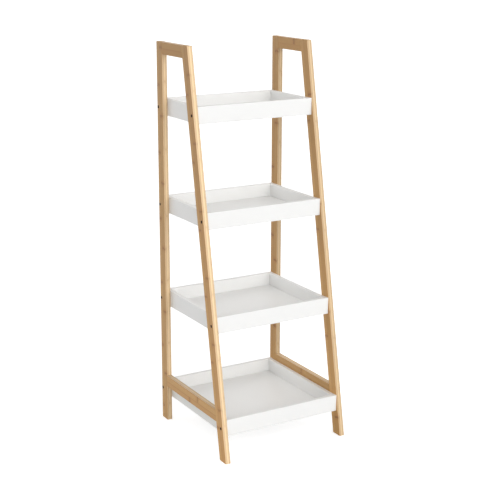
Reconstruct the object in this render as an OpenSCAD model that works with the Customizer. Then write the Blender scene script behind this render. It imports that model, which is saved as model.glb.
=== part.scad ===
// Ladder shelf: two bamboo side frames that carry four white trays.
// Millimetres, +Z up. X runs across the shelf and -Y is its front.
// The origin is on the floor, under the middle of the whole shelf.

/* [Overall] */
// Height of the side frames
overall_h = 1080; // [900:10:1300]
// Width over both side frames
overall_w = 380; // [300:5:600]
// Depth of the side frames at the floor
overall_d = 375; // [310:5:460]
// Depth of the side frames at the top
top_d = 178; // [145:1:220]

/* [Bamboo stock] */
// Thickness of every leg and rail, measured across the shelf
stock_t = 15; // [12.5:0.5:20]
// Width of every leg and rail
stock_w = 33; // [27:1:42]
// Radius of the eased long edges
stock_ease = 1.2; // [0.6:0.1:2]

/* [Rails] */
// Underside of the bottom rails above the floor
bottom_rail_z = 103; // [80:1:130]

/* [Trays] */
// Rim of the lowest tray above the floor
bottom_rim_z = 115; // [90:1:140]
// Top of the side frames down to the rim of the highest tray
top_rim_drop = 153; // [120:1:200]
// Height of the tray boards
tray_h = 46; // [35:1:60]
// Thickness of the tray boards
wall_t = 12; // [10:0.5:15]
// Thickness of the tray floors
floor_t = 4; // [3:0.5:6]
// Board left under each tray floor
floor_lip = 5; // [2:0.5:8]
// Depth of the grooves that hold the tray floors
groove_d = 4; // [3:0.5:5]
// Radius of the eased board edges
board_ease = 1.2; // [0.6:0.1:2]

/* [Screws] */
// Diameter of the screw shanks
screw_d = 4; // [3:0.5:5]
// Length of the screws under their heads
screw_len = 40; // [30:1:50]
// Diameter of the screw heads
head_d = 7.4; // [6:0.2:9]
// Height of the screw heads
head_h = 3.2; // [2.4:0.1:4]
// Depth of the head's top below the face of the leg
head_sink = 1.6; // [0.8:0.1:2.5]
// Width across the flats of the hexagon socket
hex_af = 3; // [2.5:0.5:4]

/* [Dowels] */
// Diameter of the dowels between rails and legs
frame_dowel_d = 6; // [5:0.5:8]
// Length of the dowels between rails and legs
frame_dowel_len = 30; // [24:1:36]
// Diameter of the dowels in the tray corners
tray_dowel_d = 5; // [4:0.5:6]
// Length of the dowels in the tray corners
tray_dowel_len = 24; // [18:1:30]
// Depth of a tray dowel in the front or back board
tray_dowel_in = 8; // [6:0.5:9]

/* [Clearances] */
// Gap around a screw head in its counterbore
head_gap = 0.3; // [0.1:0.05:0.5]
// Gap around a shank in the leg, where the screw passes freely
pass_gap = 0.25; // [0.1:0.05:0.5]
// Gap around a shank in the board, where its thread bites
bite_gap = 0.05; // [0.02:0.01:0.1]
// Gap around a dowel
dowel_gap = 0.05; // [0.02:0.01:0.1]
// Room left past the end of each dowel and screw
end_gap = 1; // [0.5:0.1:2]
// Gap at the edges and the top of each tray floor in its groove
floor_gap = 0.3; // [0.1:0.05:0.5]

/* [Hidden] */
$fn = 40;
SAFE = 1;                                   // how far a cut runs past the face that it opens
TRAYS = 4;
LEFT = -1;
RIGHT = 1;

back_y = overall_d / 2;
slope = (overall_d - top_d) / overall_h;    // lean of the front legs, depth lost per height
slant = atan(slope);
leg_run = stock_w / cos(slant);             // front leg's width, measured level
inner_x = overall_w / 2 - stock_t;          // inner face of a side frame
tray_pitch = (overall_h - top_rim_drop - bottom_rim_z) / (TRAYS - 1);
floor_drop = tray_h - floor_lip - floor_t;  // rim down to the tray floor
groove_h = floor_t + floor_gap;
counterbore_d = head_d + 2 * head_gap;
counterbore_depth = head_sink + head_h;
bite_len = screw_len - (stock_t - counterbore_depth);
dowel_chamfer = 0.8;
hex_depth = head_h * 0.6;

// Level and depth of the things that repeat. k counts the trays from the top.
function front_y(z) = -back_y + slope * z;
function rim_z(k) = overall_h - top_rim_drop - (k - 1) * tray_pitch;
function tray_front_y(k) = front_y(rim_z(k));
function screw_z(k) = rim_z(k) - tray_h / 2;
function screw_ys(k) = [back_y - wall_t / 2, tray_front_y(k) + wall_t / 2];
function dowel_drops() = [tray_h / 4, (tray_h / 2 + screw_d / 2 + floor_drop) / 2];
function rail_z(top) = top ? overall_h - stock_w : bottom_rail_z;
function rail_dowel_zs(top) = [for (part = [1, 3]) rail_z(top) + stock_w * part / 4];

// ---- Helpers ----

// Everything of a side is drawn on the left and mirrored for the right.
module on_side(side) {
    if (side == RIGHT) mirror([1, 0, 0]) children();
    else children();
}

// A rectangle from the origin with all four corners rounded.
module eased_rect(w, h, r) {
    translate([r, 0]) square([w - 2 * r, h]);
    translate([0, r]) square([w, h - 2 * r]);
    for (x = [r, w - r], y = [r, h - r]) translate([x, y]) circle(r);
}

// The sharp sliver that rounding one long edge takes away, along +X from x = 0.
// The edge is at y = 0, z = 0, and the board lies on its -Y and -Z sides.
module ease_sliver(length, r) {
    rotate([90, 0, 90]) linear_extrude(length) difference() {
        translate([-r, -r]) square(r + SAFE);
        translate([-r, -r]) circle(r);
    }
}

// A dowel or a screw hole lies along +Y or +X from the origin.
module along_y(length, d) rotate([-90, 0, 0]) cylinder(h = length, d = d);
module along_x(length, d) rotate([0, 90, 0]) cylinder(h = length, d = d);

// A wooden dowel along +Y, with both ends chamfered.
module dowel(length, d) {
    c = dowel_chamfer;
    rotate([-90, 0, 0]) rotate_extrude() polygon([
        [0, 0], [d / 2 - c, 0], [d / 2, c], [d / 2, length - c], [d / 2 - c, length], [0, length]
    ]);
}

// ---- Side frames, drawn for the left side ----

// Holes in one leg for the tray screws: a counterbore and a clear way for the shank.
// which is 0 for the rear leg and 1 for the front leg.
module leg_screw_holes(which) {
    for (k = [1 : TRAYS]) translate([-overall_w / 2, screw_ys(k)[which], screw_z(k)]) {
        translate([-SAFE, 0, 0]) along_x(counterbore_depth + SAFE, counterbore_d);
        along_x(stock_t + SAFE, screw_d + 2 * pass_gap);
    }
}

// Where each dowel of the frame starts, at the meeting face of leg and rail.
function rear_joint_y() = back_y - stock_w;
function front_joint_y(z) = front_y(z) + leg_run;

module at_frame_dowels(at_front) {
    for (top = [false, true]) for (z = rail_dowel_zs(top)) {
        y = at_front ? front_joint_y(z) : rear_joint_y();
        translate([-overall_w / 2 + stock_t / 2, y - frame_dowel_len / 2, z]) children();
    }
}

module frame_dowel_holes(at_front) {
    at_frame_dowels(at_front) translate([0, -end_gap, 0])
        along_y(frame_dowel_len + 2 * end_gap, frame_dowel_d + 2 * dowel_gap);
}

module rear_leg(side) {
    color("burlywood") on_side(side) difference() {
        translate([-overall_w / 2, rear_joint_y(), 0])
            linear_extrude(overall_h) eased_rect(stock_t, stock_w, stock_ease);
        leg_screw_holes(0);
        frame_dowel_holes(false);
    }
}

module front_leg(side) {
    spare = stock_w;    // extra length at both ends, cut off level
    color("burlywood") on_side(side) difference() {
        intersection() {
            translate([-overall_w / 2, front_y(0), 0]) rotate([-slant, 0, 0])
                translate([0, 0, -spare]) linear_extrude(overall_h / cos(slant) + 2 * spare)
                eased_rect(stock_t, stock_w, stock_ease);
            translate([-overall_w / 2 - SAFE, -overall_d, 0])
                cube([stock_t + 2 * SAFE, 2 * overall_d, overall_h]);
        }
        leg_screw_holes(1);
        frame_dowel_holes(true);
    }
}

// The space between the legs of one side frame, from z0 to z1.
module between_legs(z0, z1) {
    translate([-overall_w / 2 - SAFE, 0, 0]) rotate([90, 0, 90]) linear_extrude(stock_t + 2 * SAFE)
        polygon([
            [front_joint_y(z0), z0], [rear_joint_y(), z0], [rear_joint_y(), z1], [front_joint_y(z1), z1]
        ]);
}

module rail(side, top) {
    z0 = rail_z(top);
    color("tan") on_side(side) difference() {
        intersection() {
            translate([-overall_w / 2, back_y, z0]) rotate([90, 0, 0])
                linear_extrude(overall_d) eased_rect(stock_t, stock_w, stock_ease);
            between_legs(z0 - SAFE, z0 + stock_w + SAFE);
        }
        frame_dowel_holes(false);
        frame_dowel_holes(true);
    }
}

module frame_dowels(side) {
    color("wheat") on_side(side) for (at_front = [false, true])
        at_frame_dowels(at_front) dowel(frame_dowel_len, frame_dowel_d);
}

// ---- Trays ----

// The four long boards meet in butt joints: front and back run the full width, and
// the side boards stand between them. Boards are drawn lying under their rim.

// A front board with its outer face on y = 0 and its rim on z = 0.
module long_board() {
    clear_x = inner_x - wall_t;             // inner face of the side boards
    difference() {
        translate([-inner_x, 0, -tray_h]) rotate([90, 0, 90])
            linear_extrude(2 * inner_x) long_board_outline();
        translate([-clear_x, wall_t, 0]) ease_sliver(2 * clear_x, board_ease);
        translate([-clear_x - groove_d, wall_t - groove_d, floor_lip - tray_h])
            cube([2 * (clear_x + groove_d), groove_d + SAFE, groove_h]);
        for (side = [LEFT, RIGHT]) on_side(side) {
            translate([-inner_x - SAFE, wall_t / 2, -tray_h / 2])
                along_x(SAFE + bite_len + end_gap, screw_d + 2 * bite_gap);
            for (drop = dowel_drops()) translate([-inner_x + wall_t / 2, 0, -drop])
                translate([0, wall_t - tray_dowel_in - end_gap, 0])
                along_y(tray_dowel_in + end_gap + SAFE, tray_dowel_d + 2 * dowel_gap);
        }
    }
}

// Section of a long board: its inner top corner stays square, for the side boards to meet.
module long_board_outline() {
    eased_rect(wall_t, tray_h, board_ease);
    translate([wall_t / 2, tray_h / 2]) square([wall_t / 2, tray_h / 2]);
}

module tray_front(k) {
    color("white") translate([0, tray_front_y(k), rim_z(k)]) long_board();
}

module tray_back(k) {
    color("white") translate([0, back_y, rim_z(k)]) mirror([0, 1, 0]) long_board();
}

module tray_side(k, side) {
    y0 = tray_front_y(k) + wall_t;
    length = back_y - wall_t - y0;
    hole_len = tray_dowel_len - tray_dowel_in + end_gap;
    color("white") on_side(side) translate([-inner_x, y0, rim_z(k)]) difference() {
        translate([0, length, -tray_h]) rotate([90, 0, 0])
            linear_extrude(length) eased_rect(wall_t, tray_h, board_ease);
        translate([wall_t - groove_d, -SAFE, floor_lip - tray_h])
            cube([groove_d + SAFE, length + 2 * SAFE, groove_h]);
        for (drop = dowel_drops(), y = [-SAFE, length - hole_len]) translate([wall_t / 2, y, -drop])
            along_y(hole_len + SAFE, tray_dowel_d + 2 * dowel_gap);
    }
}

module tray_floor(k) {
    half_x = inner_x - wall_t + groove_d - floor_gap;
    y0 = tray_front_y(k) + wall_t - groove_d + floor_gap;
    y1 = back_y - wall_t + groove_d - floor_gap;
    color("whitesmoke") translate([-half_x, y0, rim_z(k) - tray_h + floor_lip])
        cube([2 * half_x, y1 - y0, floor_t]);
}

module tray_dowels(k) {
    color("wheat") for (side = [LEFT, RIGHT]) on_side(side) for (drop = dowel_drops())
        translate([-inner_x + wall_t / 2, 0, rim_z(k) - drop]) {
            translate([0, tray_front_y(k) + wall_t - tray_dowel_in, 0])
                dowel(tray_dowel_len, tray_dowel_d);
            translate([0, back_y - wall_t + tray_dowel_in - tray_dowel_len, 0])
                dowel(tray_dowel_len, tray_dowel_d);
        }
}

// ---- Screws ----

// A screw along +X, with its head's top on x = 0.
module screw() {
    tip = screw_d;      // length of the pointed end
    rotate([0, 90, 0]) difference() {
        rotate_extrude() polygon([
            [0, 0], [head_d / 2 - 0.4, 0], [head_d / 2, 0.4], [head_d / 2, head_h],
            [screw_d / 2, head_h], [screw_d / 2, head_h + screw_len - tip],
            [screw_d / 8, head_h + screw_len], [0, head_h + screw_len]
        ]);
        translate([0, 0, -SAFE]) cylinder(h = hex_depth + SAFE, d = hex_af / cos(30), $fn = 6);
    }
}

module screws(side) {
    color("dimgray") on_side(side) for (k = [1 : TRAYS]) for (y = screw_ys(k))
        translate([-overall_w / 2 + head_sink, y, screw_z(k)]) screw();
}

rear_leg(LEFT);  // left_rear_leg
front_leg(LEFT);  // left_front_leg
rail(LEFT, true);  // left_top_rail
rail(LEFT, false);  // left_bottom_rail
rear_leg(RIGHT);  // right_rear_leg
front_leg(RIGHT);  // right_front_leg
rail(RIGHT, true);  // right_top_rail
rail(RIGHT, false);  // right_bottom_rail
tray_floor(1);  // tray_1_floor
tray_front(1);  // tray_1_front
tray_back(1);  // tray_1_back
tray_side(1, LEFT);  // tray_1_left
tray_side(1, RIGHT);  // tray_1_right
tray_floor(2);  // tray_2_floor
tray_front(2);  // tray_2_front
tray_back(2);  // tray_2_back
tray_side(2, LEFT);  // tray_2_left
tray_side(2, RIGHT);  // tray_2_right
tray_floor(3);  // tray_3_floor
tray_front(3);  // tray_3_front
tray_back(3);  // tray_3_back
tray_side(3, LEFT);  // tray_3_left
tray_side(3, RIGHT);  // tray_3_right
tray_floor(4);  // tray_4_floor
tray_front(4);  // tray_4_front
tray_back(4);  // tray_4_back
tray_side(4, LEFT);  // tray_4_left
tray_side(4, RIGHT);  // tray_4_right
screws(LEFT);  // left_screws
screws(RIGHT);  // right_screws
frame_dowels(LEFT);  // left_frame_dowels
frame_dowels(RIGHT);  // right_frame_dowels
tray_dowels(1);  // tray_1_dowels
tray_dowels(2);  // tray_2_dowels
tray_dowels(3);  // tray_3_dowels
tray_dowels(4);  // tray_4_dowels
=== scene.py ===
"""Ladder shelf: bamboo side frames and white lacquered trays, dressed and lit in a plain studio.

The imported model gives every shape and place. The classes below give its pieces their finishes,
soften their cut ends, and set up the floor, the lights and the camera. Units are metres.
"""

import logging
import math
from dataclasses import dataclass, field
from enum import Enum
from typing import Any, Union

import bmesh
import bpy
from mathutils import Euler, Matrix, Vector


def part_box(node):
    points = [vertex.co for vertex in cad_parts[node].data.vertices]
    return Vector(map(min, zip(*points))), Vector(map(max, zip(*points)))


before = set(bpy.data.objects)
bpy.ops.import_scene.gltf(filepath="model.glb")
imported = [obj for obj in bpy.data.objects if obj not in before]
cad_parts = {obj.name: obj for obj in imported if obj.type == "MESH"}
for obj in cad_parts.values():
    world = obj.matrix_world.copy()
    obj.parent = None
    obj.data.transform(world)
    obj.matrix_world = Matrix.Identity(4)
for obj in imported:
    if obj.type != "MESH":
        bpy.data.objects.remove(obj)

LOG = logging.getLogger("ladder_shelf")
Socket = bpy.types.NodeSocket
Value = Union[float, tuple[float, ...], Socket]
Colour = tuple[float, float, float]
Span = tuple[float, float]
Cell = tuple[float, float, float]

MM = 0.001
WHITE = (1.0, 1.0, 1.0, 1.0)
NOISE_SPAN: Span = (0.3, 0.7)  # where most of a noise texture's values lie
TRAYS = 4
SEED_STEP = 10.0


class Side(Enum):
    """The two sides of the shelf, as its pieces are named."""

    LEFT = "left"
    RIGHT = "right"


class Member(Enum):
    """The four bamboo members of a side frame, in the order of their seeds."""

    REAR_LEG = "rear_leg"
    FRONT_LEG = "front_leg"
    TOP_RAIL = "top_rail"
    BOTTOM_RAIL = "bottom_rail"


class Slot(Enum):
    """The record's material slots."""

    BAMBOO = "bamboo"
    LACQUER = "white_lacquer"
    SCREW = "screw_steel"
    DOWEL = "dowel_wood"


# ---- Node writing ----


class Graph:
    """Writes the nodes of one shader tree, in metres of the shelf's own frame."""

    def __init__(self, tree: bpy.types.NodeTree) -> None:
        """Starts with an empty tree.

        Args:
            tree: Shader tree of a material, a world or a node group.
        """
        self.tree = tree
        tree.nodes.clear()

    def node(self, kind: str, **settings: Any) -> bpy.types.Node:
        """Adds a node.

        Args:
            kind: Blender's name for the node, such as ShaderNodeMath.
            **settings: Properties to set on the node.

        Returns:
            The new node.
        """
        made = self.tree.nodes.new(kind)
        for name, value in settings.items():
            setattr(made, name, value)
        return made

    def feed(self, socket: Socket, value: Value) -> None:
        """Links a socket to another, or sets its value.

        Args:
            socket: Input socket.
            value: Output socket, number or tuple.
        """
        if isinstance(value, Socket):
            self.tree.links.new(value, socket)
        else:
            socket.default_value = value

    def math(self, operation: str, *values: Value, clamp: bool = False) -> Socket:
        """Adds a Math node.

        Args:
            operation: Name of the operation, such as MULTIPLY.
            *values: Its operands.
            clamp: Whether the result stays from 0 to 1.

        Returns:
            The result.
        """
        made = self.node("ShaderNodeMath", operation=operation, use_clamp=clamp)
        for socket, value in zip(made.inputs, values):
            self.feed(socket, value)
        return made.outputs[0]

    def total(self, first: Value, *others: Value) -> Value:
        """Adds values, from left to right."""
        for value in others:
            first = self.math("ADD", first, value)
        return first

    def product(self, first: Value, *others: Value) -> Value:
        """Multiplies values, from left to right."""
        for value in others:
            first = self.math("MULTIPLY", first, value)
        return first

    def rest(self, share: Socket) -> Socket:
        """Gives what a share leaves of 1."""
        return self.math("SUBTRACT", 1.0, share)

    def sway(self, value: Socket, weight: float) -> Socket:
        """Gives how far a value that lies around 0.5 swings to either side, times a weight."""
        return self.product(self.math("SUBTRACT", value, 0.5), weight)

    def step(self, value: Value, low: float, high: float, start: float = 0.0, end: float = 1.0) -> Socket:
        """Runs smoothly from start to end as a value goes from low to high.

        Args:
            value: What is tested.
            low: Where the change starts.
            high: Where the change ends.
            start: Result at low and below.
            end: Result at high and above.

        Returns:
            The result.
        """
        made = self.node("ShaderNodeMapRange", interpolation_type="SMOOTHSTEP")
        for socket, number in zip(made.inputs, (value, low, high, start, end)):
            self.feed(socket, number)
        return made.outputs[0]

    def split(self, vector: Socket) -> tuple[Socket, Socket, Socket]:
        """Gives a vector's X, Y and Z."""
        made = self.node("ShaderNodeSeparateXYZ")
        self.feed(made.inputs[0], vector)
        return made.outputs[0], made.outputs[1], made.outputs[2]

    def join(self, x: Value, y: Value, z: Value) -> Socket:
        """Makes a vector of X, Y and Z."""
        made = self.node("ShaderNodeCombineXYZ")
        for socket, value in zip(made.inputs, (x, y, z)):
            self.feed(socket, value)
        return made.outputs[0]

    def vector_math(self, operation: str, a: Value, b: Value = (0.0, 0.0, 0.0)) -> Socket:
        """Adds a Vector Math node.

        Args:
            operation: Name of the operation, such as MULTIPLY.
            a: First operand.
            b: Second operand.

        Returns:
            The resulting vector.
        """
        made = self.node("ShaderNodeVectorMath", operation=operation)
        self.feed(made.inputs[0], a)
        self.feed(made.inputs[1], b)
        return made.outputs[0]

    def noise(self, vector: Socket, scale: float, detail: float = 2.0, roughness: float = 0.5) -> Socket:
        """Adds a Noise texture.

        Args:
            vector: Where it is read.
            scale: Features per unit of the vector.
            detail: Octaves of finer noise.
            roughness: Weight of the finer octaves.

        Returns:
            A value around 0.5, mostly from 0.25 to 0.75.
        """
        made = self.node("ShaderNodeTexNoise", noise_dimensions="3D")
        self.feed(made.inputs["Vector"], vector)
        self.feed(made.inputs["Scale"], scale)
        self.feed(made.inputs["Detail"], detail)
        self.feed(made.inputs["Roughness"], roughness)
        return made.outputs[0]

    def stretched(self, vector: Socket, cell: Cell, detail: float = 2.0) -> Socket:
        """Reads noise whose cells are longer one way than another.

        Args:
            vector: Where it is read, in metres.
            cell: Length of one feature along X, Y and Z, in metres.
            detail: Octaves of finer noise.

        Returns:
            A value around 0.5.
        """
        scaled = self.vector_math("MULTIPLY", vector, tuple(1.0 / length for length in cell))
        return self.noise(scaled, 1.0, detail)

    def mix(self, share: Value, a: Value, b: Value) -> Socket:
        """Mixes two colours.

        Args:
            share: 0 for the first, 1 for the second.
            a: First colour.
            b: Second colour.

        Returns:
            The mixed colour.
        """
        made = self.node("ShaderNodeMix", data_type="RGBA")
        self.feed(made.inputs[0], share)
        for socket, value in ((made.inputs[6], a), (made.inputs[7], b)):
            self.feed(socket, (*value, 1.0) if isinstance(value, tuple) else value)
        return made.outputs[2]

    def bump(self, height: Socket, depth: float, strength: float = 1.0) -> Socket:
        """Turns a height from 0 to 1 into a normal.

        Args:
            height: Height.
            depth: How high 1 stands, in metres.
            strength: Share of the effect.

        Returns:
            The normal.
        """
        made = self.node("ShaderNodeBump")
        self.feed(made.inputs["Strength"], strength)
        self.feed(made.inputs["Distance"], depth)
        self.feed(made.inputs["Height"], height)
        return made.outputs[0]


@dataclass(frozen=True)
class Gloss:
    """What a finish sets on the shader's own sockets, the same all over."""

    ior: float = 1.5
    metallic: float = 0.0
    coat: float = 0.0
    coat_roughness: float = 0.2

    def material(self, name: str) -> tuple[bpy.types.Material, Graph, bpy.types.Node]:
        """Starts a material with its shader.

        Args:
            name: Name of the material.

        Returns:
            The material, the writer of its tree, and its shader node.
        """
        made = bpy.data.materials.new(name)
        made.use_nodes = True
        graph = Graph(made.node_tree)
        shader = graph.node("ShaderNodeBsdfPrincipled")
        shader.inputs["IOR"].default_value = self.ior
        shader.inputs["Metallic"].default_value = self.metallic
        shader.inputs["Coat Weight"].default_value = self.coat
        shader.inputs["Coat Roughness"].default_value = self.coat_roughness
        output = graph.node("ShaderNodeOutputMaterial")
        graph.feed(output.inputs["Surface"], shader.outputs[0])
        return made, graph, shader


# ---- Finishes ----


@dataclass(frozen=True)
class Character:
    """What sets one bamboo member apart from the next.

    The lightness is a factor on the finish's colours, partly the member's own tone and partly painted light.
    Ripe runs from pale 0 to honey 1. The knuckles are those of the strip along the member's front or upper
    edge, in metres from its start.
    """

    # Lightness factors: partly the member's own tone, partly painted light.
    start_tone_and_painted_light: float
    end_tone_and_painted_light: float
    edge_tone_and_painted_light: float
    ripe: float
    first_knuckle: float
    pitch: float


@dataclass(frozen=True)
class Stick:
    """A straight bamboo member: where its section's centre starts, how it lies, and its length.

    Its own X runs through its thickness, Y across its width, and Z along its grain.
    """

    node: str
    start: Vector
    tilt: float
    length: float
    seed: float
    character: Character


@dataclass(frozen=True)
class Streak:
    """Streaks along the grain: the cell of their noise, its octaves, and their weight in the tone."""

    cell: Cell
    detail: float
    weight: float


@dataclass(frozen=True)
class Strip:
    """The strip of bamboo at a place: its number as a vector, its random numbers, its own grain place."""

    number: Socket
    chance: tuple[Socket, Socket, Socket]
    place: Socket


@dataclass(frozen=True)
class Marks:
    """Masks on the bamboo: dark middles and wider bands of knuckles, glue lines, outer skins of strips."""

    core: Socket
    halo: Socket
    seam: Socket
    skin: Socket


class Setting(Enum):
    """What each member sets on the bamboo's node group, by the name of the input."""

    SEED = "Seed"
    LENGTH = "Length"
    FIRST = "First"
    PITCH = "Pitch"
    RIPE = "Ripe"
    START_TONE_AND_PAINTED_LIGHT = "Start tone and painted light"
    PAINTED_LIGHT_PER_METRE = "Painted light per metre"
    EDGE_TONE_AND_PAINTED_LIGHT = "Edge tone and painted light"


@dataclass(frozen=True)
class Bamboo:
    """Laminated bamboo under a satin clear coat: plies of long strips, each with its own knuckles.

    All members share one node group, which works in the member's own frame.
    """

    # Lamination
    ply: float = 5.02 * MM
    strip: float = 16.6 * MM
    glue_line: float = 0.12 * MM
    skin_share: float = 0.3
    strip_shift: Cell = (0.37, 0.53, 0.71)

    # Grain
    streaks: tuple[Streak, Streak, Streak] = (
        Streak((3.5 * MM, 3.5 * MM, 0.32), 1.0, 1.1),
        Streak((1.3 * MM, 1.3 * MM, 0.11), 2.0, 0.9),
        Streak((0.36 * MM, 0.36 * MM, 0.028), 2.0, 0.45),
    )
    strip_weight: float = 0.8
    dash_cell: Cell = (0.24 * MM, 0.24 * MM, 9 * MM)
    dot_size: float = 0.75 * MM

    # Knuckles
    core_reach: Span = (1.0 * MM, 4.5 * MM)
    halo_reach: Span = (2.0 * MM, 15 * MM)
    waver: float = 7 * MM
    waver_cell: Cell = (6 * MM, 6 * MM, 0.05)
    pit_cell: Cell = (1.4 * MM, 1.4 * MM, 3.0 * MM)

    # Drilled holes, which get painted shade: the broad faces look sideways by more than flat_facing, and the
    # margins have none
    flat_facing: float = 0.96
    edge_margin: float = 2 * MM
    end_margin: float = 8 * MM

    # Where a face counts as narrow, and where as a cut end, by how it faces
    narrow_facing: Span = (0.5, 0.85)
    end_facing: Span = (0.6, 0.9)

    # Where on their noise or chance the marks show
    red_strips: Span = (0.45, 1.0)
    dashes: Span = (0.60, 0.72)
    pits: Span = (0.36, 0.58)
    dots: Span = (0.2, 0.42)
    dot_drift: float = 0.05

    # Narrow faces: the tone's weight there, and the least tone
    narrow_weight: float = 0.45
    narrow_least: float = 0.2

    # Strength of the marks
    skin_depth: Span = (0.3, 0.75)
    most_reddening: float = 0.35
    dash_depth: float = 0.2
    dot_depth: float = 0.6
    knuckle_depth: Span = (0.55, 1.0)
    knuckle_fade: float = 0.75
    blush: float = 0.7
    pit_depth: Span = (0.35, 0.8)
    seam_depth: float = 0.3

    # Colours. The broad colours are a darker, shaded copy and the edge colours a lighter, lit copy of the
    # bamboo: partly the plies' paler edges, partly painted light
    shaded_broad_pale: Colour = (0.645, 0.41, 0.168)
    shaded_broad_honey: Colour = (0.535, 0.315, 0.108)
    lit_edge_pale: Colour = (0.87, 0.655, 0.405)
    lit_edge_honey: Colour = (0.77, 0.55, 0.305)
    ruddy: Colour = (0.46, 0.22, 0.068)
    bark: Colour = (0.20, 0.075, 0.02)
    end: Colour = (0.52, 0.33, 0.155)
    # Painted shade for the walls and rims of the screw holes
    painted_bore_shade: Colour = (0.05, 0.024, 0.01)

    # Surface
    roughness: Span = (0.38, 0.5)
    end_roughness: float = 0.18
    fibre_relief: float = 0.35
    knuckle_relief: float = 0.5
    seam_relief: float = 0.5
    relief: float = 0.12 * MM
    relief_strength: float = 0.6
    gloss: Gloss = Gloss(ior=1.46, coat=0.05, coat_roughness=0.3)

    def group(self) -> bpy.types.NodeTree:
        """Makes the node group that all bamboo shares, once.

        Returns:
            A group from a place and a facing in the member's own frame, and the member's settings,
            to a colour, a roughness and a height.
        """
        found = bpy.data.node_groups.get("bamboo_grain")
        if found:
            return found
        tree = self._sockets()
        graph = Graph(tree)
        given = graph.node("NodeGroupInput").outputs
        result = graph.node("NodeGroupOutput").inputs
        facing = graph.split(given["Facing"])
        strip, seam, skin = self._lamellas(graph, given["Place"], given[Setting.SEED.value])
        fibres = self._fibres(graph, strip.place)
        core, halo = self._knuckles(graph, strip, given)
        marks = Marks(core, halo, seam, skin)
        edge = graph.step(graph.math("ABSOLUTE", facing[1]), *self.narrow_facing)
        ends = graph.step(graph.math("ABSOLUTE", facing[2]), *self.end_facing)
        holes = self._painted_bore_shade(graph, given["Place"], facing[0], given[Setting.LENGTH.value])
        colour = self._side_colour(graph, strip, fibres, marks, edge, given[Setting.RIPE.value])
        # Painted light and tone: the member's lightness factor scales its colour.
        light = self._tone_and_painted_light(graph, given, edge)
        colour = graph.vector_math("MULTIPLY", colour, graph.join(light, light, light))
        colour = graph.mix(ends, colour, self._end_colour(graph, strip))
        # Painted shade: the screw holes' walls and rims take the dark bore colour.
        graph.feed(result["Colour"], graph.mix(holes, colour, self.painted_bore_shade))
        fine = fibres[2]
        rough = graph.step(fine, *NOISE_SPAN, *self.roughness)
        graph.feed(result["Roughness"], graph.total(rough, graph.product(ends, self.end_roughness)))
        raised = graph.total(graph.product(fine, self.fibre_relief), graph.product(halo, self.knuckle_relief))
        height = graph.math("SUBTRACT", raised, graph.product(seam, self.seam_relief))
        graph.feed(result["Height"], height)
        return tree

    def _sockets(self) -> bpy.types.NodeTree:
        """Makes the empty group with its inputs and outputs.

        Returns:
            The group.
        """
        tree = bpy.data.node_groups.new("bamboo_grain", "ShaderNodeTree")
        inputs = [("Place", "NodeSocketVector"), ("Facing", "NodeSocketVector")]
        inputs += [(setting.value, "NodeSocketFloat") for setting in Setting]
        outputs = [("Colour", "NodeSocketColor")]
        outputs += [(name, "NodeSocketFloat") for name in ("Roughness", "Height")]
        for way, sockets in (("INPUT", inputs), ("OUTPUT", outputs)):
            for name, kind in sockets:
                tree.interface.new_socket(name, in_out=way, socket_type=kind)
        return tree

    def _lamellas(self, graph: Graph, place: Socket, seed: Socket) -> tuple[Strip, Socket, Socket]:
        """Numbers the strips of each ply and finds the seams between them.

        Args:
            graph: Writer of the group.
            place: Place in the member's own frame.
            seed: The member's seed.

        Returns:
            The strip, 1 on a glue line, and 1 at a strip's dark outer skin.
        """
        x, y, _ = graph.split(place)
        layer = graph.total(graph.math("DIVIDE", x, self.ply), 1.5)
        layer_number = graph.math("FLOOR", layer)
        middle = graph.math("COMPARE", layer_number, 1.0, 0.5)
        across = graph.total(graph.math("DIVIDE", y, self.strip), 1.0, graph.product(middle, 0.5))
        number = graph.join(layer_number, graph.math("FLOOR", across), seed)
        chances = graph.node("ShaderNodeTexWhiteNoise", noise_dimensions="3D")
        graph.feed(chances.inputs["Vector"], number)
        shift = graph.vector_math("MULTIPLY", number, self.strip_shift)
        strip = Strip(number, graph.split(chances.outputs["Color"]), graph.vector_math("ADD", place, shift))
        seam = graph.math("MAXIMUM", self._near_edge(graph, layer, self.ply),
                          self._near_edge(graph, across, self.strip))
        skin = graph.step(graph.math("FRACT", across), 0.0, self.skin_share, 1.0, 0.0)
        return strip, seam, skin

    def _near_edge(self, graph: Graph, cell: Socket, width: float) -> Socket:
        """Finds the glue line between two cells.

        Args:
            graph: Writer of the group.
            cell: Place counted in cells.
            width: Width of a cell in metres.

        Returns:
            1 on the line, 0 away from it.
        """
        line = self.glue_line / width
        off_centre = graph.math("ABSOLUTE", graph.math("SUBTRACT", graph.math("FRACT", cell), 0.5))
        return graph.step(off_centre, 0.5 - 2 * line, 0.5 - 0.5 * line)

    def _fibres(self, graph: Graph, place: Socket) -> tuple[Socket, ...]:
        """Reads the long streaks of the fibres.

        Args:
            graph: Writer of the group.
            place: The strip's own grain place.

        Returns:
            Broad, middle and fine streaks, each around 0.5.
        """
        return tuple(graph.stretched(place, streak.cell, streak.detail) for streak in self.streaks)

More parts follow.
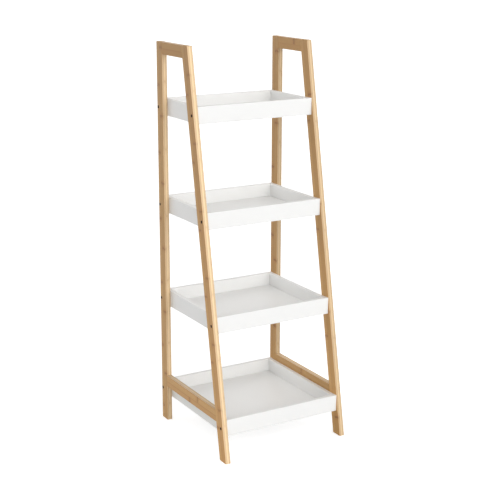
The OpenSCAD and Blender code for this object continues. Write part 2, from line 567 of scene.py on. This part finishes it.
    def _knuckles(self, graph: Graph, strip: Strip, given: bpy.types.NodeOutputs) -> tuple[Socket, Socket]:
        """Sets knuckles along each strip. Only the first strip has them where the member asks.

        Args:
            graph: Writer of the group.
            strip: The strip.
            given: The group's inputs.

        Returns:
            The dark middle of each knuckle, and the wider band around it.
        """
        along = graph.split(given["Place"])[2]
        pitch = given[Setting.PITCH.value]
        count = graph.math("DIVIDE", graph.math("SUBTRACT", along, given[Setting.FIRST.value]), pitch)
        layer, across, _ = graph.split(strip.number)
        first_strip = graph.math("COMPARE", graph.total(layer, across), 0.0, 0.5)
        slip = graph.product(graph.rest(first_strip), strip.chance[1])
        count = graph.total(count, slip, 0.5)
        off = graph.product(graph.math("SUBTRACT", graph.math("FRACT", count), 0.5), pitch)
        waver = graph.math("SUBTRACT", graph.stretched(strip.place, self.waver_cell, 1.0), 0.5)
        distance = graph.math("ABSOLUTE", graph.math("MULTIPLY_ADD", waver, self.waver, off))
        core = graph.step(distance, *self.core_reach, 1.0, 0.0)
        halo = graph.step(distance, *self.halo_reach, 1.0, 0.0)
        return core, halo

    def _painted_bore_shade(self, graph: Graph, place: Socket, facing_x: Socket, length: Socket) -> Socket:
        """Finds the walls and rims of the screw holes, which get painted shade.

        Args:
            graph: Writer of the group.
            place: Place in the member's own frame.
            facing_x: How far the surface faces along the member's X.
            length: The member's length.

        Returns:
            1 in a hole, 0 outside.
        """
        _, y, z = graph.split(place)
        off_face = graph.math("LESS_THAN", graph.math("ABSOLUTE", facing_x), self.flat_facing)
        off_edge = graph.math("LESS_THAN", graph.math("ABSOLUTE", y), self.strip - self.edge_margin)
        half = graph.product(length, 0.5)
        off_end = graph.math("LESS_THAN", graph.math("ABSOLUTE", graph.math("SUBTRACT", z, half)),
                             graph.math("SUBTRACT", half, self.end_margin))
        return graph.product(off_face, off_edge, off_end)

    def _tone_and_painted_light(self, graph: Graph, given: bpy.types.NodeOutputs, edge: Socket) -> Socket:
        """Gives the member's lightness, partly its own tone and partly painted light, which changes along it
        on its broad faces.

        Args:
            graph: Writer of the group.
            given: The group's inputs.
            edge: 1 on the narrow faces.

        Returns:
            A factor on the colour.
        """
        along = graph.split(given["Place"])[2]
        broad = graph.math("MULTIPLY_ADD", along, given[Setting.PAINTED_LIGHT_PER_METRE.value],
                           given[Setting.START_TONE_AND_PAINTED_LIGHT.value])
        return graph.total(graph.product(broad, graph.rest(edge)),
                           graph.product(given[Setting.EDGE_TONE_AND_PAINTED_LIGHT.value], edge))

    def _side_colour(self, graph: Graph, strip: Strip, fibres: tuple[Socket, ...], marks: Marks,
                     edge: Socket, ripe: Socket) -> Socket:
        """Colours the faces along the grain.

        Args:
            graph: Writer of the group.
            strip: The strip.
            fibres: Broad, middle and fine streaks.
            marks: Knuckles, glue lines and skins.
            edge: 1 on the narrow faces, where the plies show their pale edges and where the lighter colours
                are partly painted light.
            ripe: How far the member leans from pale to honey.

        Returns:
            The colour.
        """
        sways = [graph.sway(fibre, streak.weight) for fibre, streak in zip(fibres, self.streaks)]
        tone = graph.total(ripe, *sways, graph.sway(strip.chance[2], self.strip_weight))
        tone = graph.math("ADD", tone, 0.0, clamp=True)
        reddening = graph.step(strip.chance[1], *self.red_strips, 0.0, self.most_reddening)
        # Broad faces take the shaded colours and narrow faces the lit ones: partly the plies' paler edges,
        # partly painted light.
        broad = graph.mix(reddening, graph.mix(tone, self.shaded_broad_pale, self.shaded_broad_honey), self.ruddy)
        narrow_tone = graph.math("MULTIPLY_ADD", tone, self.narrow_weight, self.narrow_least)
        narrow = graph.mix(narrow_tone, self.lit_edge_pale, self.lit_edge_honey)
        colour = graph.mix(edge, broad, narrow)
        skin_depth = graph.step(strip.chance[0], 0.0, 1.0, *self.skin_depth)
        colour = graph.mix(graph.product(marks.skin, skin_depth, graph.rest(edge)), colour, self.ruddy)
        bundles = graph.stretched(strip.place, self.dash_cell, 1.0)
        colour = graph.mix(graph.step(bundles, *self.dashes, 0.0, self.dash_depth), colour, self.bark)
        colour = self._knuckle_colour(graph, strip, marks, edge, colour)
        return graph.mix(graph.product(marks.seam, self.seam_depth), colour, self.bark)

    def _knuckle_colour(self, graph: Graph, strip: Strip, marks: Marks, edge: Socket,
                        colour: Socket) -> Socket:
        """Darkens the knuckles, each strip's by its own amount and less on the narrow faces.

        Args:
            graph: Writer of the group.
            strip: The strip.
            marks: Knuckles, glue lines and skins.
            edge: 1 on the narrow faces.
            colour: Colour without knuckles.

        Returns:
            The colour.
        """
        depth = graph.step(strip.chance[2], 0.0, 1.0, *self.knuckle_depth)
        depth = graph.product(depth, graph.rest(graph.product(edge, self.knuckle_fade)))
        colour = graph.mix(graph.product(marks.halo, depth, self.blush), colour, self.ruddy)
        pits = graph.step(graph.stretched(strip.place, self.pit_cell), *self.pits, *self.pit_depth)
        return graph.mix(graph.product(marks.core, depth, pits), colour, self.bark)

    def _end_colour(self, graph: Graph, strip: Strip) -> Socket:
        """Colours the cut ends, where the fibre bundles show as dots.

        Args:
            graph: Writer of the group.
            strip: The strip.

        Returns:
            The colour.
        """
        drawn_out = (1.0, 1.0, self.dot_drift)
        dots = graph.node("ShaderNodeTexVoronoi", voronoi_dimensions="3D")
        graph.feed(dots.inputs["Vector"], graph.vector_math("MULTIPLY", strip.place, drawn_out))
        graph.feed(dots.inputs["Scale"], 1.0 / self.dot_size)
        dot = graph.step(dots.outputs["Distance"], *self.dots, self.dot_depth, 0.0)
        return graph.mix(dot, graph.mix(strip.chance[2], self.end, self.shaded_broad_pale), self.bark)

    def material(self, stick: Stick) -> bpy.types.Material:
        """Makes the material of one member.

        Args:
            stick: The member.

        Returns:
            Its material.
        """
        made, graph, shader = self.gloss.material(f"bamboo_{stick.node}")
        source = graph.node("ShaderNodeTexCoord")
        grain = graph.node("ShaderNodeGroup", node_tree=self.group())
        for name, place, output in (("Place", stick.start, "Object"), ("Facing", Vector(), "Normal")):
            turned = graph.node("ShaderNodeMapping", vector_type="TEXTURE")
            graph.feed(turned.inputs["Vector"], source.outputs[output])
            turned.inputs["Location"].default_value = place
            turned.inputs["Rotation"].default_value = Euler((stick.tilt, 0.0, 0.0))
            graph.feed(grain.inputs[name], turned.outputs[0])
        own = stick.character
        settings = {
            Setting.SEED: stick.seed,
            Setting.LENGTH: stick.length,
            Setting.FIRST: own.first_knuckle,
            Setting.PITCH: own.pitch,
            Setting.RIPE: own.ripe,
            Setting.START_TONE_AND_PAINTED_LIGHT: own.start_tone_and_painted_light,
            Setting.PAINTED_LIGHT_PER_METRE: (own.end_tone_and_painted_light - own.start_tone_and_painted_light) / stick.length,
            Setting.EDGE_TONE_AND_PAINTED_LIGHT: own.edge_tone_and_painted_light,
        }
        for setting, value in settings.items():
            grain.inputs[setting.value].default_value = value
        graph.feed(shader.inputs["Base Color"], grain.outputs["Colour"])
        graph.feed(shader.inputs["Roughness"], grain.outputs["Roughness"])
        normal = graph.bump(grain.outputs["Height"], self.relief, self.relief_strength)
        graph.feed(shader.inputs["Normal"], normal)
        return made


@dataclass(frozen=True)
class Lacquer:
    """White paint, sprayed and rubbed: a faint orange peel and a slightly uneven gloss."""

    name: str
    white: Colour = (0.868, 0.868, 0.858)
    shade: Colour = (0.858, 0.858, 0.846)
    roughness: Span = (0.33, 0.38)
    cloud_scale: float = 9.0
    cloud_weight: float = 0.8
    speck_scale: float = 420.0
    speck_weight: float = 0.3
    shaded: Span = (0.3, 0.8)
    rub_scale: float = 38.0
    peel: float = 3.0 * MM
    peel_depth: float = 0.005 * MM
    gloss: Gloss = Gloss(ior=1.48)

    def material(self) -> bpy.types.Material:
        """Makes the material.

        Returns:
            A material that any painted board shares.
        """
        made, graph, shader = self.gloss.material(self.name)
        place = graph.node("ShaderNodeTexCoord").outputs["Object"]
        clouds = graph.noise(place, self.cloud_scale, 3.0)
        specks = graph.noise(place, self.speck_scale)
        tone = graph.total(graph.product(clouds, self.cloud_weight), graph.product(specks, self.speck_weight))
        colour = graph.mix(graph.step(tone, *self.shaded), self.white, self.shade)
        graph.feed(shader.inputs["Base Color"], colour)
        rubbed = graph.noise(place, self.rub_scale, 3.0, 0.6)
        graph.feed(shader.inputs["Roughness"], graph.step(rubbed, *NOISE_SPAN, *self.roughness))
        peel = graph.noise(place, 1.0 / self.peel, 1.5, 0.4)
        graph.feed(shader.inputs["Normal"], graph.bump(peel, self.peel_depth))
        return made


@dataclass(frozen=True)
class BlackOxide:
    """Blackened steel of the screws, with bare metal showing faintly where tools have turned it."""

    black: Colour = (0.007, 0.0065, 0.006)
    worn: Colour = (0.04, 0.037, 0.034)
    rubbed: Span = (0.52, 0.74)
    most_worn: float = 0.7
    roughness: Span = (0.5, 0.65)
    rub_scale: float = 900.0
    pit_scale: float = 2400.0
    pit_depth: float = 0.02 * MM
    pit_strength: float = 0.5
    gloss: Gloss = Gloss(ior=1.35, metallic=0.3)

    def material(self) -> bpy.types.Material:
        """Makes the material.

        Returns:
            A material for all screws.
        """
        made, graph, shader = self.gloss.material("black_oxide")
        place = graph.node("ShaderNodeTexCoord").outputs["Object"]
        rubbing = graph.noise(place, self.rub_scale, 4.0, 0.65)
        colour = graph.mix(graph.step(rubbing, *self.rubbed, 0.0, self.most_worn), self.black, self.worn)
        graph.feed(shader.inputs["Base Color"], colour)
        graph.feed(shader.inputs["Roughness"], graph.step(rubbing, *NOISE_SPAN, *self.roughness))
        pits = graph.noise(place, self.pit_scale)
        graph.feed(shader.inputs["Normal"], graph.bump(pits, self.pit_depth, self.pit_strength))
        return made


@dataclass(frozen=True)
class RawBeech:
    """Unfinished beech of the dowels, grained along Y, with the short rays that beech shows."""

    pale: Colour = (0.70, 0.52, 0.335)
    warm: Colour = (0.60, 0.41, 0.245)
    ray: Colour = (0.42, 0.26, 0.14)
    rays: Span = (0.62, 0.72)
    ray_depth: float = 0.6
    roughness: Span = (0.55, 0.7)
    streak_cell: Cell = (0.7 * MM, 16 * MM, 0.7 * MM)
    ray_cell: Cell = (0.25 * MM, 1.6 * MM, 0.25 * MM)
    relief: float = 0.06 * MM
    relief_strength: float = 0.6
    gloss: Gloss = Gloss(ior=1.45)

    def material(self) -> bpy.types.Material:
        """Makes the material.

        Returns:
            A material for all dowels.
        """
        made, graph, shader = self.gloss.material("raw_beech")
        place = graph.node("ShaderNodeTexCoord").outputs["Object"]
        streaks = graph.stretched(place, self.streak_cell, 3.0)
        rays = graph.stretched(place, self.ray_cell, 1.0)
        colour = graph.mix(graph.step(streaks, *NOISE_SPAN), self.pale, self.warm)
        colour = graph.mix(graph.step(rays, *self.rays, 0.0, self.ray_depth), colour, self.ray)
        graph.feed(shader.inputs["Base Color"], colour)
        graph.feed(shader.inputs["Roughness"], graph.step(streaks, *NOISE_SPAN, *self.roughness))
        graph.feed(shader.inputs["Normal"], graph.bump(streaks, self.relief, self.relief_strength))
        return made


@dataclass(frozen=True)
class SeamlessWhite:
    """The studio floor: matt white, with a glow of its own that only the camera sees.

    The glow runs the floor out into the white background without lighting the shelf from below.
    """

    white: Colour = (0.81, 0.81, 0.81)
    grey: Colour = (0.79, 0.79, 0.79)
    roughness: Span = (0.75, 0.9)
    shine: float = 0.1
    grain_scale: float = 60.0
    glow: float = 0.57
    gloss: Gloss = Gloss()

    def material(self) -> bpy.types.Material:
        """Makes the material.

        Returns:
            The floor's material.
        """
        made, graph, shader = self.gloss.material("studio_floor")
        place = graph.node("ShaderNodeTexCoord").outputs["Object"]
        grain = graph.noise(place, self.grain_scale, 3.0)
        colour = graph.mix(graph.step(grain, *NOISE_SPAN), self.white, self.grey)
        graph.feed(shader.inputs["Base Color"], colour)
        graph.feed(shader.inputs["Roughness"], graph.step(grain, *NOISE_SPAN, *self.roughness))
        shader.inputs["Specular IOR Level"].default_value = self.shine
        shader.inputs["Emission Color"].default_value = WHITE
        seen = graph.node("ShaderNodeLightPath").outputs["Is Camera Ray"]
        graph.feed(shader.inputs["Emission Strength"], graph.product(seen, self.glow))
        return made


# ---- Pieces ----


def dress(node: str, material: bpy.types.Material) -> bpy.types.Object:
    """Gives a node of the frame its finish and reports it.

    Args:
        node: Name of the node.
        material: Its finish.

    Returns:
        The node's object.
    """
    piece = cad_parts[node]
    piece.data.materials.clear()
    piece.data.materials.append(material)
    LOG.info("%s: %s", node, material.name)
    return piece


@dataclass(frozen=True)
class Easing:
    """Rounds the sharp edges of a straight member, as sanding does. Angles are in degrees."""

    width: float = 0.5 * MM
    segments: int = 3
    flat_angle: float = 0.5
    sharp_angle: float = 40.0
    same_point: float = 0.001 * MM

    def apply(self, piece: bpy.types.Object) -> None:
        """Adds the modifiers: joined points, whole flat faces, then rounded edges.

        Args:
            piece: The member.
        """
        weld = piece.modifiers.new("weld", "WELD")
        weld.merge_threshold = self.same_point
        flat = piece.modifiers.new("flat", "DECIMATE")
        flat.decimate_type = "DISSOLVE"
        flat.angle_limit = math.radians(self.flat_angle)
        rounding = piece.modifiers.new("rounding", "BEVEL")
        rounding.limit_method = "ANGLE"
        rounding.angle_limit = math.radians(self.sharp_angle)
        rounding.width = self.width
        rounding.segments = self.segments
        rounding.use_clamp_overlap = False
        LOG.info("%s: edges eased by %.1f mm", piece.name, self.width / MM)


@dataclass
class SideFrame:
    """One bamboo side frame: an upright rear leg, a leaning front leg and two rails between them."""

    side: Side
    bamboo: Bamboo
    dowel_finish: bpy.types.Material
    screw_finish: bpy.types.Material
    seed: float
    characters: dict[Member, Character]
    easing: Easing = Easing()
    stock_w: float = field(init=False)
    slope: float = field(init=False)

    def __post_init__(self) -> None:
        """Takes the stock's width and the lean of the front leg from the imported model."""
        low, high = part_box(self._name(Member.REAR_LEG.value))
        self.stock_w = high.y - low.y
        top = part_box("tray_1_front")[0]
        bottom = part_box(f"tray_{TRAYS}_front")[0]
        self.slope = (top.y - bottom.y) / (top.z - bottom.z)

    def _name(self, piece: str) -> str:
        """Gives the full name of a piece of this side."""
        return f"{self.side.value}_{piece}"

    def sticks(self) -> list[Stick]:
        """Lists the four bamboo members with the way that their grain runs.

        Returns:
            Rear leg, front leg, top rail and bottom rail.
        """
        slant = math.atan(self.slope)
        low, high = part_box(self._name(Member.FRONT_LEG.value))
        foot_y = low.y + self.stock_w / math.cos(slant) / 2
        middle_x = (low.x + high.x) / 2
        tall = high.z - low.z
        rear_low, rear_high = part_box(self._name(Member.REAR_LEG.value))
        rear_y = (rear_low.y + rear_high.y) / 2
        lays = {
            Member.REAR_LEG: (Vector((middle_x, rear_y, 0.0)), 0.0, tall),
            Member.FRONT_LEG: (Vector((middle_x, foot_y, 0.0)), -slant, tall / math.cos(slant)),
        }
        for rail in (Member.TOP_RAIL, Member.BOTTOM_RAIL):
            low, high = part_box(self._name(rail.value))
            start = Vector((middle_x, low.y, (low.z + high.z) / 2))
            lays[rail] = (start, -math.pi / 2, high.y - low.y)
        return [
            Stick(self._name(member.value), start, tilt, length, self.seed + number, self.characters[member])
            for number, (member, (start, tilt, length)) in enumerate(lays.items())
        ]

    def build(self) -> None:
        """Dresses the members, their dowels and the screws that hold the trays."""
        for stick in self.sticks():
            piece = dress(stick.node, self.bamboo.material(stick))
            self.easing.apply(piece)
        dress(self._name("frame_dowels"), self.dowel_finish)
        dress(self._name("screws"), self.screw_finish)


@dataclass
class Tray:
    """One tray: four painted boards around a painted floor, counted from the top."""

    number: int
    board_finish: bpy.types.Material
    floor_finish: bpy.types.Material
    dowel_finish: bpy.types.Material

    def build(self) -> None:
        """Dresses the boards, the floor and the dowels in the corners."""
        for board in ("front", "back", "left", "right"):
            dress(f"tray_{self.number}_{board}", self.board_finish)
        dress(f"tray_{self.number}_floor", self.floor_finish)
        dress(f"tray_{self.number}_dowels", self.dowel_finish)


# ---- Studio ----


@dataclass(frozen=True)
class Panel:
    """A wide soft panel of light, far off, as a part of the sky."""

    name: str
    azimuth: float
    elevation: float
    strength: float
    spread: float = 4.0

    def glow(self, graph: Graph, towards: Socket) -> Socket:
        """Gives the panel's light from each direction.

        Args:
            graph: Writer of the sky's tree.
            towards: Direction.

        Returns:
            Its strength there.
        """
        facing = graph.node("ShaderNodeVectorMath", operation="DOT_PRODUCT")
        graph.feed(facing.inputs[0], towards)
        graph.feed(facing.inputs[1], tuple(away(self.azimuth, self.elevation)))
        lit = graph.math("POWER", graph.math("MAXIMUM", facing.outputs["Value"], 0.0), self.spread)
        return graph.product(lit, self.strength)


def away(azimuth: float, elevation: float) -> Vector:
    """Gives the direction from the shelf towards a viewer or a lamp.

    Args:
        azimuth: Degrees to the right of straight in front.
        elevation: Degrees above the horizon.

    Returns:
        A vector of length 1.
    """
    a, e = math.radians(azimuth), math.radians(elevation)
    return Vector((math.sin(a) * math.cos(e), -math.cos(a) * math.cos(e), math.sin(e)))


@dataclass(frozen=True)
class Viewpoint:
    """The camera's place, the way it looks, and its lens."""

    place: tuple[float, float, float] = (-1.5775, -2.6592, 1.3494)
    azimuth: float = -29.96
    elevation: float = 14.62
    sensor: float = 36.0
    lens: float = 84.0
    shift: Span = (0.0238, -0.0173)
    clip: Span = (0.05, 200.0)

    def build(self) -> None:
        """Makes the scene's camera."""
        data = bpy.data.cameras.new("camera")
        data.sensor_width = self.sensor
        data.lens = self.lens
        data.shift_x, data.shift_y = self.shift
        data.clip_start, data.clip_end = self.clip
        camera = bpy.data.objects.new("camera", data)
        bpy.context.scene.collection.objects.link(camera)
        camera.location = self.place
        camera.rotation_euler = away(self.azimuth, self.elevation).to_track_quat("Z", "Y").to_euler()
        bpy.context.scene.camera = camera


@dataclass
class Studio:
    """A white floor, soft panels of light all round, and the camera."""

    floor_radius: float = 45.0
    floor_segments: int = 96
    panels: tuple[Panel, ...] = (
        Panel("front", 0.0, 20.0, 3.13),
        Panel("right", 90.0, 20.0, 0.66),
        Panel("back", 180.0, 20.0, 1.27),
        Panel("back_left", -135.0, 20.0, 1.31),
    )
    viewpoint: Viewpoint = Viewpoint()

    def build(self) -> None:
        """Sets up everything around the shelf."""
        self._floor()
        self._sky()
        self.viewpoint.build()
        bpy.context.scene.view_settings.view_transform = "Standard"

    def _floor(self) -> None:
        """Lays the floor, a wide disc at the level of the feet."""
        mesh = bpy.data.meshes.new("studio_floor")
        shape = bmesh.new()
        bmesh.ops.create_circle(shape, cap_ends=True, radius=self.floor_radius,
                                  segments=self.floor_segments)
        shape.to_mesh(mesh)
        shape.free()
        floor = bpy.data.objects.new("studio_floor", mesh)
        bpy.context.scene.collection.objects.link(floor)
        floor.data.materials.append(SeamlessWhite().material())

    def _sky(self) -> None:
        """Makes the panels' light, and a background that the camera sees as plain white."""
        world = bpy.data.worlds.new("studio_sky")
        world.use_nodes = True
        bpy.context.scene.world = world
        graph = Graph(world.node_tree)
        towards = graph.node("ShaderNodeTexCoord").outputs["Generated"]
        strength = graph.node("ShaderNodeLightPath").outputs["Is Camera Ray"]
        for panel in self.panels:
            strength = graph.total(strength, panel.glow(graph, towards))
            LOG.info("panel %s: %.2f", panel.name, panel.strength)
        background = graph.node("ShaderNodeBackground")
        graph.feed(background.inputs["Strength"], strength)
        background.inputs["Color"].default_value = WHITE
        output = graph.node("ShaderNodeOutputWorld")
        graph.feed(output.inputs["Surface"], background.outputs[0])


# Lightness factors are partly each member's own tone and partly painted light; the legs are lighter towards
# the foot.
CHARACTERS: dict[Side, dict[Member, Character]] = {
    Side.LEFT: {
        Member.REAR_LEG: Character(
            start_tone_and_painted_light=1.17, end_tone_and_painted_light=0.96, edge_tone_and_painted_light=0.98, ripe=0.5, first_knuckle=0.14, pitch=0.185
        ),
        Member.FRONT_LEG: Character(
            start_tone_and_painted_light=1.4, end_tone_and_painted_light=1.0, edge_tone_and_painted_light=1.12, ripe=0.7, first_knuckle=0.142, pitch=0.176
        ),
        Member.TOP_RAIL: Character(
            start_tone_and_painted_light=1.02, end_tone_and_painted_light=1.02, edge_tone_and_painted_light=0.8, ripe=1.3, first_knuckle=-0.2, pitch=0.6
        ),
        Member.BOTTOM_RAIL: Character(
            start_tone_and_painted_light=1.28, end_tone_and_painted_light=1.28, edge_tone_and_painted_light=0.8, ripe=0.65, first_knuckle=0.105, pitch=0.32
        ),
    },
    Side.RIGHT: {
        Member.REAR_LEG: Character(
            start_tone_and_painted_light=1.17, end_tone_and_painted_light=1.0, edge_tone_and_painted_light=0.76, ripe=0.6, first_knuckle=0.018, pitch=0.204
        ),
        Member.FRONT_LEG: Character(
            start_tone_and_painted_light=1.55, end_tone_and_painted_light=1.08, edge_tone_and_painted_light=0.94, ripe=0.9, first_knuckle=0.05, pitch=0.3
        ),
        Member.TOP_RAIL: Character(
            start_tone_and_painted_light=1.1, end_tone_and_painted_light=1.1, edge_tone_and_painted_light=0.85, ripe=1.0, first_knuckle=0.037, pitch=0.32
        ),
        Member.BOTTOM_RAIL: Character(
            start_tone_and_painted_light=1.15, end_tone_and_painted_light=1.15, edge_tone_and_painted_light=0.98, ripe=1.0, first_knuckle=0.149, pitch=0.32
        ),
    },
}


def main() -> None:
    """Builds the shelf's looks in order: side frames, trays, studio."""
    logging.basicConfig(level=logging.INFO, format="%(name)s: %(message)s")
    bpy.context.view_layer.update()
    bamboo = Bamboo()
    dowels = RawBeech().material()
    screws = BlackOxide().material()
    boards = Lacquer("lacquer_boards").material()
    smooth = Lacquer("lacquer_floors", roughness=(0.36, 0.40), peel=5.0 * MM, peel_depth=0.003 * MM)
    floors = smooth.material()
    for number, (side, characters) in enumerate(CHARACTERS.items()):
        SideFrame(side, bamboo, dowels, screws, SEED_STEP * (number + 1), characters).build()
    for number in range(1, TRAYS + 1):
        Tray(number, boards, floors, dowels).build()
    Studio().build()


if __name__ == "__main__":
    main()
